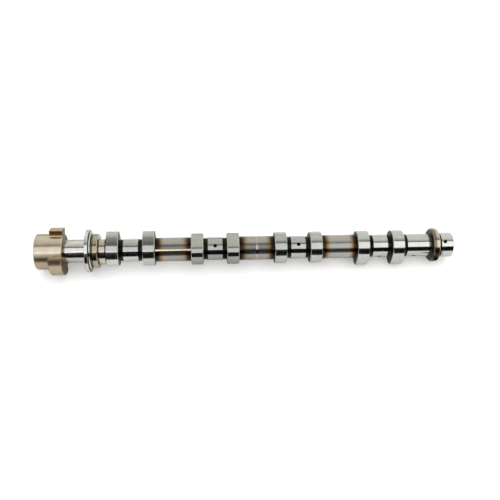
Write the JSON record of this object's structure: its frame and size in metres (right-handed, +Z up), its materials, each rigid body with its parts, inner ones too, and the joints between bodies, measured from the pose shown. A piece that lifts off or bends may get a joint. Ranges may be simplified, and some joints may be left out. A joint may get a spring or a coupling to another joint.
{
  "type": "camshaft",
  "caption": "Assembled engine camshaft: hollow shaft with shrunk-on cam lobes and ground journals between them, thrust flange and cup-shaped pulse wheel at one end, phaser seat at the other.",
  "frame": {"origin": "on the shaft's axis, at the thrust flange's journal-side face", "axes": "+X along the shaft towards the drive nose, +Z up as the shaft lies at rest"},
  "size_m": [0.4449, 0.0475, 0.0452],
  "materials": {
    "tube_steel": "drawn tube with ground journals and heat tints beside the lobes",
    "lobe_steel": "ground and polished",
    "end_steel": "turned, with ground journal and flange and bronze-tinted collars",
    "wheel_steel": "turned, bronze-tinted",
    "plug_steel": "pressed, bright",
    "pin_steel": "ground"
  },
  "bodies": {
    "root": {"camshaft_tube": "tube_steel", "rear_end_piece": "end_steel", "front_end_piece": "end_steel", "pulse_wheel": "wheel_steel", "gallery_plug": "plug_steel", "phaser_dowel": "pin_steel", "cam_lobe_1_rear": "lobe_steel", "cam_lobe_1_front": "lobe_steel", "cam_lobe_2_rear": "lobe_steel", "cam_lobe_2_front": "lobe_steel", "cam_lobe_3_rear": "lobe_steel", "cam_lobe_3_front": "lobe_steel", "cam_lobe_4_rear": "lobe_steel", "cam_lobe_4_front": "lobe_steel"}
  },
  "joints": []
}
